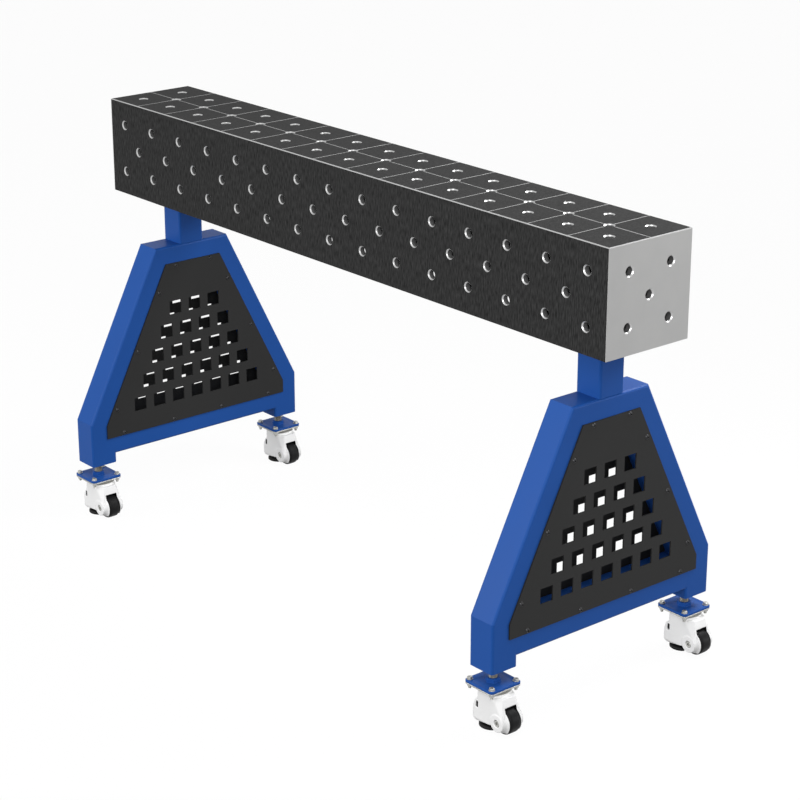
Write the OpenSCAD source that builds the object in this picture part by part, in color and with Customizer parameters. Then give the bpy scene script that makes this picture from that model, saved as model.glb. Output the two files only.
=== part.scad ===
// Welding trestle: a bored steel box beam on two frame legs with levelling castors.
// Millimetres. The origin is on the floor under the middle of the beam, X runs along
// the beam, Y across it and Z up. Left is -X, right is +X, front is -Y and back is +Y.

/* [Beam] */
// Length of the beam
beam_length = 1500; // [1100:200:2300]
// Width of the beam
beam_width = 200; // [180:10:240]
// Height of the beam
beam_height = 200; // [190:10:240]
// Thickness of the beam's plates
beam_wall = 12; // [8:1:15]
// Bevel along the edges of the top face
beam_bevel = 1.5; // [0.5:0.5:3]
// Height of the top face above the floor
working_height = 880; // [800:10:1000]
// Thickness of a cross rib inside the beam
rib_thickness = 6; // [4:1:10]
// Diameter of the large hole in each rib
rib_hole = 90; // [60:5:110]

/* [System bores] */
// Diameter of the clamping bores
bore_d = 16; // [12:0.5:18]
// Distance between the rows of bores
grid_pitch = 100; // [80:5:105]
// Least distance from the beam's end to a bore
bore_edge = 40; // [30:1:48]
// Bevel at the mouth of a bore
bore_bevel = 2; // [0.5:0.25:2.5]
// Width of an engraved grid line
line_width = 1.2; // [0.6:0.2:2]
// Depth of an engraved grid line
line_depth = 0.4; // [0.2:0.1:1]

/* [Leg frame] */
// Distance from the beam's end to the middle of a leg
leg_inset = 110; // [100:5:200]
// Width of the frame across its top
frame_top_width = 188; // [170:2:260]
// Width of the frame across its feet
frame_foot_width = 550; // [480:10:650]
// Height of the frame from the underside of its feet to its top
frame_height = 457; // [420:1:500]
// Height of a foot's upright outer edge
knee_height = 96; // [94:1:120]
// How far the feet reach below the bottom rail
foot_drop = 20; // [10:1:22]
// Side of the square tube
tube = 60; // [50:1:62]
// Wall of the square tube
tube_wall = 3; // [2:0.5:4]
// Outer corner radius of the square tube
tube_corner = 5; // [4.5:0.5:8]

/* [Beam mounting] */
// Length of the mounting plate in the beam, along the beam
mount_length = 180; // [170:5:190]
// Thickness of the mounting plate
mount_thickness = 10; // [8:1:15]
// Diameter of the access hole in the mounting plate
mount_hole = 60; // [40:5:80]
// Side of the flange on top of the post
flange_side = 150; // [140:5:160]
// Thickness of the flange
flange_thickness = 10; // [8:1:15]
// Corner radius of the flange
flange_corner = 10; // [5:1:20]
// Spacing of the flange bolts
flange_spacing = 110; // [104:2:116]
// Thread diameter of the flange bolts
flange_bolt_d = 10; // [8:1:14]

/* [Panels] */
// Thickness of a panel
panel_thickness = 3; // [2:0.5:5]
// Distance from the frame's outer edge to the panel's edge
panel_margin = 38; // [34:1:42]
// Side of a square cut-out
cutout = 30; // [20:1:36]
// Distance between the cut-outs
cutout_pitch = 50; // [44:1:52]
// Cut-outs in the top row, with one more in each row below
cutout_first_row = 3; // [1:1:3]
// Rows of cut-outs
cutout_rows = 5; // [1:1:5]
// Distance from the frame's top to the middle of the first row
cutout_drop = 137.5; // [130:0.5:145]
// Diameter of a panel screw's thread
panel_screw_d = 5; // [4:0.5:6]

/* [Castor] */
// Height of a castor under the blue plate
castor_height = 84; // [82:1:95]
// Side of the castor's square plates
castor_plate = 73; // [70:1:80]
// Spacing of the plate's bolts
castor_spacing = 58; // [54:1:60]
// Thickness of the castor's own top plate
castor_plate_thickness = 3; // [2:0.5:4]
// Thickness of the blue plate under the stem
stem_plate_thickness = 5; // [4:0.5:8]
// Thread diameter of the plate bolts
plate_bolt_d = 6; // [5:0.5:6.5]
// Diameter of the levelling stem
stem_d = 16; // [12:1:20]
// Length of stem that shows between the plate and the foot
stem_shown = 29; // [25:1:45]
// Length of stem inside the foot
stem_hidden = 46; // [36:1:50]
// Diameter of the wheel
wheel_d = 50; // [46:1:50]
// Width of the wheel
wheel_width = 25; // [20:1:26]
// Distance from the swivel axis to the wheel's axle
wheel_trail = 37.5; // [37:0.5:42]
// Diameter of the axle bolt
axle_d = 8; // [6:1:10]
// Diameter of the foot pad
pad_d = 48; // [40:1:52]
// Diameter of the foot's stud
stud_d = 12; // [8:1:12]
// Diameter of the thumbwheel
thumbwheel_d = 43; // [42:0.5:44]
// Thickness of the thumbwheel
thumbwheel_thickness = 8; // [6:0.5:8]
// How far the foot can be lowered
foot_travel = 12; // [5:1:12]

/* [Hidden] */
LEGS = [["left", -1], ["right", 1]];
CASTORS = [
    ["left_front", -1, -1], ["left_back", -1, 1],
    ["right_front", 1, -1], ["right_back", 1, 1]
];
BEAM_NODES = [
    "beam_top_plate", "beam_front_side", "beam_back_side", "beam_left_end",
    "beam_right_end", "beam_ribs", "beam_mounting_plates"
];
LEG_NODES = [
    "post", "top_rail", "front_upright", "back_upright", "bottom_rail",
    "outer_panel", "inner_panel", "panel_screws", "head_bolts", "foot_nuts"
];
CASTOR_NODES = [
    "stem_plate", "plate_bolts", "top_plate", "housing", "wheel", "axle",
    "thumbwheel", "foot"
];

$fn = 48;
hull_steps = 32;

// One overrun for every cut
overrun = 1;
// Radial clearance of a shaft that turns or slides in its hole
running_fit = 0.05;
// Gap between two faces that pass each other
face_gap = 0.5;
// Root gap between two pieces that are welded together
weld_gap = 0.05;

// Colours as they look in daylight
NITRIDED = [0.2, 0.2, 0.2];
BARE_STEEL = [0.68, 0.68, 0.68];
BLUE_COAT = [0.17, 0.33, 0.62];
BLACK_COAT = [0.22, 0.22, 0.22];
ZINC = [0.7, 0.69, 0.66];
WHITE_COAT = [0.9, 0.9, 0.9];
RUBBER = [0.1, 0.1, 0.1];

// Levels and half sizes of the beam
beam_under = working_height - beam_height;
side_height = beam_height - beam_wall;
inner_half = beam_width / 2 - beam_wall;
column_count = floor((beam_length / 2 - bore_edge) / grid_pitch);
columns = [for (i = [-column_count : column_count]) i * grid_pitch];
cross_columns = [for (i = [-column_count : column_count - 1]) (i + 1 / 2) * grid_pitch];

// Places along the beam
leg_x = beam_length / 2 - leg_inset;
// The two ribs over a leg stand this far inwards and outwards of its middle
rib_inwards = 75;
rib_outwards = 85;
// The other ribs stand between the columns of bores, at these shares of the pitch
rib_pitch_shares = [1.25, 3.25];
rib_places = concat(
    [for (share = rib_pitch_shares) share * grid_pitch],
    [leg_x - rib_inwards, leg_x + rib_outwards]
);

// Levels of a leg
foot_bottom = castor_height + stem_plate_thickness + stem_shown;
frame_top = foot_bottom + frame_height;
knee_z = foot_bottom + knee_height;
rail_bottom = foot_bottom + foot_drop;
flange_bottom = beam_under - flange_thickness;
top_half = frame_top_width / 2;
foot_half = frame_foot_width / 2;
castor_y = foot_half - tube / 2;

// Slope of the frame's sides, measured from upright
slope = atan((foot_half - top_half) / (frame_top - knee_z));
// Half-width of the frame's side line at a height, drawn in by a distance square to it
function side_y(z, inset) = top_half + (frame_top - z) * tan(slope) - inset / cos(slope);
// Height at which that line reaches a half-width
function side_z(y, inset) = frame_top - (y - top_half + inset / cos(slope)) / tan(slope);
// The frame's outline drawn in by a distance: top corner and knee, as [y, z]
function top_corner(inset) = [side_y(frame_top - inset, inset), frame_top - inset];
function knee_corner(inset) = [foot_half - inset, side_z(foot_half - inset, inset)];
// A mitre line through the outer and inner corner, longer than the tube is wide
mitre_reach_share = 0.5;
function beyond(from, to) = to + (to - from) * mitre_reach_share;
top_mitre = [
    beyond(top_corner(0), top_corner(tube)), beyond(top_corner(tube), top_corner(0))
];
knee_mitre = [
    beyond(knee_corner(0), knee_corner(tube)), beyond(knee_corner(tube), knee_corner(0))
];
tube_length = frame_height + frame_foot_width;

// Panel screws: inset from the panel's edges, and shares along each edge
rail_screw_inset = 6;
side_screw_inset = 9.5;
top_screw_shares = [0.64];
side_screw_shares = [0.17, 0.53, 0.89];
bottom_screw_shares = [0.27, 0.82];
panel_top = top_corner(panel_margin);
panel_knee = knee_corner(panel_margin);
panel_bottom = rail_bottom + panel_margin;
// Least height of the last row of cut-outs above the panel's lower edge
cutout_last_rise = 61.5;
panel_side = panel_knee - panel_top;
panel_side_length = norm(panel_side);
inwards = [-cos(slope), -sin(slope)];
half_screw_places = concat(
    [for (share = top_screw_shares) [panel_top.x * share, panel_top.y - rail_screw_inset]],
    [for (share = side_screw_shares) panel_top + panel_side * share + inwards * side_screw_inset],
    [for (share = bottom_screw_shares) [panel_knee.x * share, panel_bottom + rail_screw_inset]]
);
screw_places = [for (p = half_screw_places) for (s = [-1, 1]) [s * p.x, p.y]];
screw_head_d = 9.5;
screw_head_top_d = 6;
screw_head_height = 2.6;
screw_tail = 4;
screw_hole_play = 0.3;

// Hexagon fasteners, as shares of the thread's diameter
hex_width_share = 1.5;
hex_head_share = 0.63;
nut_share = 0.83;
washer_share = 2;
washer_thickness_share = 0.2;
flange_tail_share = 0.35;
plate_tail_share = 0.75;
clearance_hole_share = 1.1;

// Closing plate and nut inside each foot
foot_plate_thickness = 6;
foot_nut_width = 24;
foot_nut_height = 14;
// Nut at the root of the levelling stem
stem_nut_width = 24;
stem_nut_height = 7;

// Castor, in its own place: swivel axis on Z, floor at zero, wheel towards +X
castor_plate_corner = 7;
race_thickness = 1.5;
race_d = 48;
spigot_d = 32;
spigot_length = 9.5;
spigot_hole = 15;
swivel_gap = 0.5;
plate_bottom = castor_height - castor_plate_thickness;
race_bottom = plate_bottom - race_thickness;
// Where the ends of the plate bolts reach down to
nut_level = plate_bottom - plate_bolt_d * (nut_share + plate_tail_share);
head_top = race_bottom - swivel_gap;
axle_z = wheel_d / 2;
wheel_side_gap = 0.8;
wheel_top_gap = 1.5;
well_height_over_wheel = 4;
tyre_shoulder = 3;
hub_d = 34;
hub_recess = 1;
// The housing's body, from the head down to the arms and the toe
body_half_width = 24;
body_corner = 10.8;
head_slab = 2;
head_back = -20;
// The sides of the head start to close in at this x
flank_x = 16;
// Its blunt nose over the wheel, at three levels, as [x from the axle, half-width, height
// above the axle]
nose_corner = 2;
nose = [[2.3, 14, head_top - axle_z], [8.3, 17.2, 34], [9.8, 18.4, 22]];
// The head is turned off round the top, so that it passes under the plate's nuts
swing_radius = 34.4;
swing_gap = 0.8;
// The arms end in round bosses, which flare out into the rims beside the wheel
boss_radius = 16.5;
boss_half_width = 25;
boss_step = 1;
rim_radius = 24.5;
rim_half_width = 14.5;
flare_steps = 6;
arm_clearance = 8;
// The toe: its foremost x, and its levels as [rearmost x, height]
toe_front = 28;
toe_corner = 12;
toe_low = [-32.5, 15];
toe_high = [-32.5, 34];
toe_shoulder = [-28.7, 44];
toe_top = 52;
toe_sole = [-27, 9];
toe_sole_front = -14;
toe_sole_half_width = 21;
toe_sole_corner = 6;
side_slot_x = -15.5;
side_slot_width = 6.5;
side_slot_bottom = 36.5;
side_slot_top = 49;
thumb_window = 26;
// Axle bolt and its seats in the arms
axle_head_d = 12;
axle_head_height = 4;
axle_seat_d = 14;
axle_seat_depth = 5;
axle_socket = 6;
axle_socket_depth = 2.5;
// Foot and thumbwheel
foot_lift = 0.8;
pad_rim_height = 4;
pad_height = 6.5;
pad_top_draw = 2;
pad_notch_x = 13;
thumbwheel_bottom = wheel_d + wheel_top_gap - face_gap;
thumbwheel_top = thumbwheel_bottom + thumbwheel_thickness;
thumbwheel_gap = 0.8;
thumbwheel_flutes = 20;
flute_d = 3;
stud_spare = 1;
stud_top = thumbwheel_top + foot_travel + stud_spare;

// A square with round corners, centred
module round_square(size, corner) {
    round_rectangle([-size / 2, size / 2], size / 2, corner);
}

// A rectangle with round corners between two x values, as wide to each side of the X axis
module round_rectangle(x, half_width, corner) {
    flat = x[1] - x[0] - 2 * corner;
    translate([x[0] + corner, -half_width]) square([flat, 2 * half_width]);
    translate([x[0], corner - half_width]) square([x[1] - x[0], 2 * (half_width - corner)]);
    for (cx = [x[0] + corner, x[1] - corner]) for (s = [-1, 1])
        translate([cx, s * (half_width - corner)]) circle(r = corner);
}

// A solid of a [y, z] outline, as deep as asked to each side of the X axis' zero
module across(half_depth) {
    rotate([90, 0, 90]) translate([0, 0, -half_depth])
        linear_extrude(2 * half_depth) children();
}

module at_legs(side) {
    translate([side * leg_x, 0, 0]) children();
}

module at_castor(castor) {
    translate([castor[1] * leg_x, castor[2] * castor_y, 0]) children();
}

// The corners of a square pattern
module square_pattern(spacing) {
    for (sx = [-1, 1]) for (sy = [-1, 1])
        translate([sx * spacing / 2, sy * spacing / 2, 0]) children();
}

// A clamping bore that opens upwards at z = 0, with its bevelled mouth
module system_bore() {
    translate([0, 0, -beam_wall - overrun]) cylinder(d = bore_d, h = beam_wall + overrun);
    translate([0, 0, -bore_bevel])
        cylinder(
            d1 = bore_d, d2 = bore_d + 2 * (bore_bevel + overrun), h = bore_bevel + overrun
        );
}

// The bores of a long face, on a grid with one more bore in the middle of each square
module face_bores(cross_row, rows) {
    for (x = columns) for (row = rows) translate([x, row, 0]) system_bore();
    for (x = cross_columns) translate([x, cross_row, 0]) system_bore();
}

module beam_top_plate() {
    half = beam_width / 2;
    end = beam_length / 2;
    color(NITRIDED) difference() {
        translate([0, 0, working_height]) intersection() {
            across(end) bevelled_section(half);
            rotate([0, 0, 90]) across(half) bevelled_section(end);
        }
        translate([0, 0, working_height]) {
            face_bores(0, [-grid_pitch / 2, grid_pitch / 2]);
            translate([-end - overrun, -line_width / 2, -line_depth])
                cube([beam_length + 2 * overrun, line_width, line_depth + overrun]);
            for (x = cross_columns)
                translate([x - line_width / 2, -half - overrun, -line_depth])
                    cube([line_width, beam_width + 2 * overrun, line_depth + overrun]);
        }
    }
}

// Section of the top plate: its two top edges are bevelled
module bevelled_section(half) {
    polygon([
        [-half, -beam_wall], [half, -beam_wall], [half, -beam_bevel],
        [half - beam_bevel, 0], [beam_bevel - half, 0], [-half, -beam_bevel]
    ]);
}

// A side plate whose outer face looks along -Y (side = -1) or +Y (side = 1)
module beam_side(side) {
    color(NITRIDED) difference() {
        translate([
            -beam_length / 2, side > 0 ? inner_half : -beam_width / 2, beam_under
        ]) cube([beam_length, beam_wall, side_height]);
        translate([0, side * beam_width / 2, working_height]) rotate([-side * 90, 0, 0])
            face_bores(side * grid_pitch, [side * grid_pitch / 2, side * 3 * grid_pitch / 2]);
    }
}

module beam_end(side) {
    color(BARE_STEEL) difference() {
        translate([
            side > 0 ? beam_length / 2 - beam_wall : -beam_length / 2, -inner_half, beam_under
        ]) cube([beam_wall, 2 * inner_half, side_height]);
        translate([side * beam_length / 2, 0, working_height - grid_pitch])
            rotate([0, side * 90, 0]) {
                system_bore();
                square_pattern(grid_pitch) system_bore();
            }
    }
}

module beam_ribs() {
    color(NITRIDED) for (s = [-1, 1]) for (x = rib_places)
        translate([s * x, 0, 0]) difference() {
            translate([-rib_thickness / 2, -inner_half, beam_under + mount_thickness])
                cube([rib_thickness, 2 * inner_half, side_height - mount_thickness]);
            translate([-rib_thickness, 0, beam_under + beam_height / 2])
                rotate([0, 90, 0]) cylinder(d = rib_hole, h = 2 * rib_thickness);
        }
}

module beam_mounting_plates() {
    color(NITRIDED) for (s = [-1, 1]) translate([s * leg_x, 0, beam_under])
        difference() {
            translate([-mount_length / 2, -inner_half, 0])
                cube([mount_length, 2 * inner_half, mount_thickness]);
            translate([0, 0, -overrun]) {
                cylinder(d = mount_hole, h = mount_thickness + 2 * overrun);
                square_pattern(flange_spacing)
                    cylinder(
                        d = flange_bolt_d * clearance_hole_share,
                        h = mount_thickness + 2 * overrun
                    );
            }
        }
}

// Section of the square tube
module tube_section() {
    difference() {
        round_square(tube, tube_corner);
        round_square(tube - 2 * tube_wall, tube_corner - tube_wall);
    }
}

// Square tube along Z from zero
module tube_along_z(length) {
    linear_extrude(length) tube_section();
}

// Holes for the panel screws through the tube's walls
module tube_screw_holes() {
    for (s = [-1, 1]) for (p = screw_places)
        translate([s * (tube / 2 + overrun), p.x, p.y]) rotate([0, -s * 90, 0])
            cylinder(d = panel_screw_d + 2 * running_fit, h = tube_wall + 2 * overrun);
}

// The post with its flange
module post() {
    color(BLUE_COAT) {
        translate([0, 0, frame_top]) tube_along_z(flange_bottom - frame_top - weld_gap);
        difference() {
            translate([0, 0, flange_bottom]) linear_extrude(flange_thickness)
                round_square(flange_side, flange_corner);
            translate([0, 0, flange_bottom - overrun]) square_pattern(flange_spacing)
                cylinder(
                    d = flange_bolt_d * clearance_hole_share,
                    h = flange_thickness + 2 * overrun
                );
        }
    }
}

module top_rail() {
    color(BLUE_COAT) difference() {
        intersection() {
            translate([0, tube_length / 2, frame_top - tube / 2]) rotate([90, 0, 0])
                tube_along_z(tube_length);
            across(tube) polygon([
                top_mitre[0] - [weld_gap, 0], top_mitre[1] - [weld_gap, 0],
                [weld_gap - top_mitre[1].x, top_mitre[1].y],
                [weld_gap - top_mitre[0].x, top_mitre[0].y]
            ]);
        }
        tube_screw_holes();
    }
}

// A sloping tube mitred to the top rail, and the foot below its knee
module upright(side) {
    mirror([0, side > 0 ? 0 : 1, 0]) color(BLUE_COAT) {
        difference() {
            intersection() {
                translate([0, side_y(frame_top, tube / 2), frame_top]) rotate([slope, 0, 0])
                    translate([0, 0, -tube_length]) tube_along_z(tube_length + frame_height);
                across(tube) polygon([
                    top_mitre[0], top_mitre[1], knee_mitre[1], knee_mitre[0]
                ]);
            }
            tube_screw_holes();
        }
        intersection() {
            translate([0, castor_y, foot_bottom]) tube_along_z(frame_height);
            across(tube) polygon([
                knee_mitre[0] - [0, weld_gap], knee_mitre[1] - [0, weld_gap],
                [knee_mitre[1].x, foot_bottom - tube], [knee_mitre[0].x, foot_bottom - tube]
            ]);
        }
    }
}

module bottom_rail() {
    length = frame_foot_width - 2 * (tube + weld_gap);
    color(BLUE_COAT) difference() {
        translate([0, length / 2, rail_bottom + tube / 2]) rotate([90, 0, 0])
            tube_along_z(length);
        tube_screw_holes();
    }
}

// Where the square cut-outs of a panel lie, as [y, z]; the rows close up in a lower frame
row_pitch = min(
    cutout_pitch,
    (frame_top - cutout_drop - panel_bottom - cutout_last_rise) / max(1, cutout_rows - 1)
);
cutout_places = [
    for (row = [0 : cutout_rows - 1]) for (i = [0 : cutout_first_row + row - 1])
        [
            (i - (cutout_first_row + row - 1) / 2) * cutout_pitch,
            frame_top - cutout_drop - row * row_pitch
        ]
];

module panel(side) {
    color(BLACK_COAT) translate([side * (tube + panel_thickness) / 2, 0, 0])
        across(panel_thickness / 2) difference() {
            polygon([
                panel_top, panel_knee, [panel_knee.x, panel_bottom],
                [-panel_knee.x, panel_bottom], [-panel_knee.x, panel_knee.y],
                [-panel_top.x, panel_top.y]
            ]);
            for (p = cutout_places) translate(p) square(cutout, center = true);
            for (p = screw_places) translate(p) circle(d = panel_screw_d + 2 * screw_hole_play);
        }
}

module panel_screws() {
    reach = panel_thickness + tube_wall + screw_tail;
    color(BLACK_COAT) for (s = [-1, 1]) for (p = screw_places)
        translate([s * (tube / 2 + panel_thickness), p.x, p.y]) rotate([0, s * 90, 0]) {
            translate([0, 0, -reach]) cylinder(d = panel_screw_d, h = reach);
            cylinder(d1 = screw_head_d, d2 = screw_head_top_d, h = screw_head_height);
        }
}

// A hexagon, given the width across its flats
module hexagon(width, height) {
    cylinder(d = width / cos(180 / 6), h = height, $fn = 6);
}

// A bolt with its head down at z = 0, its grip above, and a washer and nut on top
module bolt_and_nut(d, grip, tail_share) {
    washer = d * washer_thickness_share;
    difference() {
        cylinder(d = d * washer_share, h = washer);
        translate([0, 0, -overrun]) cylinder(d = d + 2 * running_fit, h = washer + 2 * overrun);
    }
    translate([0, 0, -d * hex_head_share]) hexagon(d * hex_width_share, d * hex_head_share);
    cylinder(d = d, h = washer + grip + d * (nut_share + tail_share));
    translate([0, 0, washer + grip]) difference() {
        hexagon(d * hex_width_share, d * nut_share);
        translate([0, 0, -overrun])
            cylinder(d = d + 2 * running_fit, h = d * nut_share + 2 * overrun);
    }
}

module head_bolts() {
    color(ZINC) square_pattern(flange_spacing)
        translate([0, 0, flange_bottom - flange_bolt_d * washer_thickness_share])
            bolt_and_nut(
                flange_bolt_d, flange_thickness + mount_thickness, flange_tail_share
            );
}

// The plate that closes each foot, with the nut for the stem
module foot_nuts() {
    color(BLUE_COAT) for (s = [-1, 1]) translate([0, s * castor_y, foot_bottom])
        difference() {
            union() {
                linear_extrude(foot_plate_thickness)
                    round_square(
                        tube - 2 * (tube_wall + weld_gap), tube_corner - tube_wall
                    );
                hexagon(foot_nut_width, foot_plate_thickness + foot_nut_height);
            }
            translate([0, 0, -overrun])
                cylinder(d = stem_d + 2 * running_fit, h = foot_nut_height * 2);
        }
}

// The levelling stem and the square plate welded to it
module stem_plate() {
    color(BLUE_COAT) difference() {
        union() {
            translate([0, 0, castor_height]) linear_extrude(stem_plate_thickness)
                round_square(castor_plate, castor_plate_corner);
            translate([0, 0, castor_height]) {
                cylinder(d = stem_d, h = foot_bottom + stem_hidden - castor_height);
                hexagon(stem_nut_width, stem_plate_thickness + stem_nut_height);
            }
        }
        translate([0, 0, castor_height - overrun]) square_pattern(castor_spacing)
            cylinder(
                d = plate_bolt_d * clearance_hole_share,
                h = stem_plate_thickness + 2 * overrun
            );
    }
}

// The bolts stand head up, so they are turned over
module plate_bolts() {
    grip = stem_plate_thickness + castor_plate_thickness;
    top = castor_height + stem_plate_thickness + plate_bolt_d * washer_thickness_share;
    color(ZINC) square_pattern(castor_spacing)
        translate([0, 0, top]) rotate([180, 0, 0])
            bolt_and_nut(plate_bolt_d, grip, plate_tail_share);
}

module top_plate() {
    color(ZINC) difference() {
        union() {
            translate([0, 0, plate_bottom]) linear_extrude(castor_plate_thickness)
                round_square(castor_plate, castor_plate_corner);
            translate([0, 0, race_bottom])
                cylinder(d = race_d, h = race_thickness + castor_plate_thickness / 2);
            translate([0, 0, race_bottom - spigot_length])
                cylinder(d = spigot_d, h = spigot_length + race_thickness);
        }
        translate([0, 0, race_bottom - spigot_length - overrun])
            cylinder(d = spigot_hole, h = spigot_length + race_thickness + overrun);
        translate([0, 0, plate_bottom - overrun]) square_pattern(castor_spacing)
            cylinder(
                d = plate_bolt_d * clearance_hole_share,
                h = castor_plate_thickness + 2 * overrun
            );
    }
}

// A disc on the wheel's axle line, as wide to each side as asked
module axle_disc(radius, half_width) {
    rotate([90, 0, 0]) translate([0, 0, -half_width]) cylinder(r = radius, h = 2 * half_width);
}

// A slab of the toe's plan, from one x to another, with its underside at z
module toe_slab(x, z, thickness, half_width = body_half_width, corner = toe_corner) {
    translate([0, 0, z]) linear_extrude(thickness)
        round_rectangle(x, half_width, corner, $fn = hull_steps);
}

// A slab of the head: round corners at the back, full flanks, and the blunt nose
module head_level(level) {
    corner_y = body_half_width - body_corner;
    translate([0, 0, axle_z + level.z - head_slab]) linear_extrude(head_slab) hull() {
        for (s = [-1, 1]) {
            translate([head_back + body_corner, s * corner_y])
                circle(r = body_corner, $fn = hull_steps);
            translate([
                wheel_trail + level.x - nose_corner, s * (level.y - nose_corner)
            ]) circle(r = nose_corner, $fn = hull_steps / 2);
        }
        translate([flank_x, 0]) circle(r = body_half_width, $fn = 2 * hull_steps);
    }
}

// The head of the housing comes forward and down into the two arms beside the wheel
module head_and_arms() {
    hull() {
        for (level = nose) head_level(level);
        translate([wheel_trail, 0, axle_z])
            axle_disc(boss_radius, boss_half_width - boss_step, $fn = 2 * hull_steps);
    }
    translate([wheel_trail, 0, axle_z]) {
        axle_disc(boss_radius, boss_half_width);
        rotate([90, 0, 0]) rotate_extrude() arm_section();
    }
}

// Half of the section through both arms along the axle, with the flare of each rim
module arm_section() {
    flare = [
        for (i = [0 : flare_steps]) let (t = 90 * i / flare_steps) [
            rim_radius - (rim_radius - boss_radius) * cos(t),
            boss_half_width - (boss_half_width - rim_half_width) * sin(t)
        ]
    ];
    for (s = [0, 1]) mirror([0, s]) polygon(concat([[0, boss_half_width]], flare, [[0, 0]]));
}

// The toe on the far side from the wheel, over the foot
module toe() {
    hull() {
        toe_slab([toe_low.x, toe_front], toe_low.y, toe_high.y - toe_low.y);
        toe_slab([toe_shoulder.x, 0], toe_shoulder.y, head_slab);
        toe_slab([head_back, 0], toe_top - head_slab, head_slab, corner = body_corner);
        toe_slab(
            [toe_sole.x, toe_sole_front], toe_sole.y, head_slab / 2,
            toe_sole_half_width, toe_sole_corner
        );
    }
}

// Everything that is hollow in the housing
module housing_hollows() {
    well_half = wheel_width / 2 + wheel_side_gap;
    well_radius = wheel_d / 2 + wheel_top_gap;
    well_top = wheel_d + well_height_over_wheel;
    // The well for the wheel, open below and in front, with a flat top
    translate([wheel_trail, 0, axle_z]) axle_disc(well_radius, well_half);
    translate([wheel_trail, -well_half, axle_z])
        cube([wheel_d, 2 * well_half, well_top - axle_z]);
    translate([wheel_trail - well_radius, -well_half, -overrun])
        cube([wheel_d + wheel_trail, 2 * well_half, axle_z + overrun]);
    // The arms end above the floor
    translate([0, -wheel_d, -overrun])
        cube([wheel_d + wheel_trail, 2 * wheel_d, arm_clearance + overrun]);
    // The path of the plate's nuts and bolt ends
    translate([0, 0, nut_level - swing_gap]) difference() {
        cylinder(r = wheel_d + wheel_trail, h = castor_height);
        translate([0, 0, -overrun]) cylinder(r = swing_radius, h = castor_height + 2 * overrun);
    }
    // The swivel's socket, and the guide of the foot's stud right through
    translate([0, 0, race_bottom - spigot_length - face_gap])
        cylinder(d = spigot_d + 2 * running_fit, h = spigot_length + overrun);
    cylinder(d = stud_d + 2 * running_fit, h = head_top);
    // The thumbwheel's room and the window that it shows in
    translate([0, 0, thumbwheel_bottom - face_gap]) {
        cylinder(
            d = thumbwheel_d + 2 * thumbwheel_gap, h = thumbwheel_thickness + 2 * face_gap
        );
        translate([toe_low.x, -thumb_window / 2, 0])
            cube([-toe_low.x, thumb_window, thumbwheel_thickness + 2 * face_gap]);
    }
    // The slot across the toe
    translate([side_slot_x - side_slot_width / 2, -wheel_d, side_slot_bottom])
        cube([side_slot_width, 2 * wheel_d, side_slot_top - side_slot_bottom]);
    // The axle's bore and the seats of its head and nut
    translate([wheel_trail, 0, axle_z]) {
        axle_disc(axle_d / 2 + running_fit, boss_half_width + overrun);
        for (s = [-1, 1]) translate([0, s * boss_half_width, 0]) rotate([90, 0, 0])
            translate([0, 0, -axle_seat_depth]) cylinder(d = axle_seat_d, h = 2 * axle_seat_depth);
    }
}

module housing() {
    color(WHITE_COAT) difference() {
        union() {
            head_and_arms();
            toe();
        }
        housing_hollows();
    }
}

module wheel() {
    half = wheel_width / 2;
    radius = wheel_d / 2;
    color(RUBBER) translate([wheel_trail, 0, axle_z]) rotate([90, 0, 0])
        rotate_extrude() polygon([
            [axle_d / 2 + running_fit, -half], [hub_d / 4, -half],
            [hub_d / 4, hub_recess - half], [hub_d / 2, hub_recess - half],
            [hub_d / 2, -half], [radius - tyre_shoulder, -half],
            [radius, tyre_shoulder - half], [radius, half - tyre_shoulder],
            [radius - tyre_shoulder, half], [hub_d / 2, half],
            [hub_d / 2, half - hub_recess], [hub_d / 4, half - hub_recess],
            [hub_d / 4, half], [axle_d / 2 + running_fit, half]
        ]);
}

// The axle bolt with its socket head at the front, and a nut at the back
module axle() {
    seat = boss_half_width - axle_seat_depth;
    color(ZINC) translate([wheel_trail, 0, axle_z]) {
        difference() {
            union() {
                axle_disc(axle_d / 2, seat + axle_head_height);
                translate([0, -seat, 0]) rotate([90, 0, 0])
                    cylinder(d = axle_head_d, h = axle_head_height);
            }
            translate([0, axle_socket_depth - seat - axle_head_height, 0]) rotate([90, 0, 0])
                hexagon(axle_socket, axle_socket_depth + overrun);
        }
        translate([0, seat, 0]) rotate([-90, 0, 0]) difference() {
            hexagon(axle_head_d * cos(180 / 6), axle_head_height);
            translate([0, 0, -overrun])
                cylinder(d = axle_d + 2 * running_fit, h = axle_head_height + 2 * overrun);
        }
    }
}

module thumbwheel() {
    color(RUBBER) translate([0, 0, thumbwheel_bottom]) difference() {
        cylinder(d = thumbwheel_d, h = thumbwheel_thickness);
        translate([0, 0, -overrun]) {
            cylinder(d = stud_d + 2 * running_fit, h = thumbwheel_thickness + 2 * overrun);
            for (i = [0 : thumbwheel_flutes - 1]) rotate(i * 360 / thumbwheel_flutes)
                translate([(thumbwheel_d + flute_d / 2) / 2, 0, 0])
                    cylinder(d = flute_d, h = thumbwheel_thickness + 2 * overrun);
        }
    }
}

// The foot pad, notched for the wheel, on its stud
module foot() {
    radius = pad_d / 2;
    notch_half = wheel_width / 2 + wheel_top_gap;
    color(RUBBER) translate([0, 0, foot_lift]) {
        difference() {
            rotate_extrude() polygon([
                [0, 0], [radius, 0], [radius, pad_rim_height],
                [radius - pad_top_draw, pad_height], [0, pad_height]
            ]);
            translate([pad_notch_x, -notch_half, -overrun])
                cube([radius, 2 * notch_half, pad_height + 2 * overrun]);
        }
        cylinder(d = stud_d, h = stud_top - foot_lift);
    }
}

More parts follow.
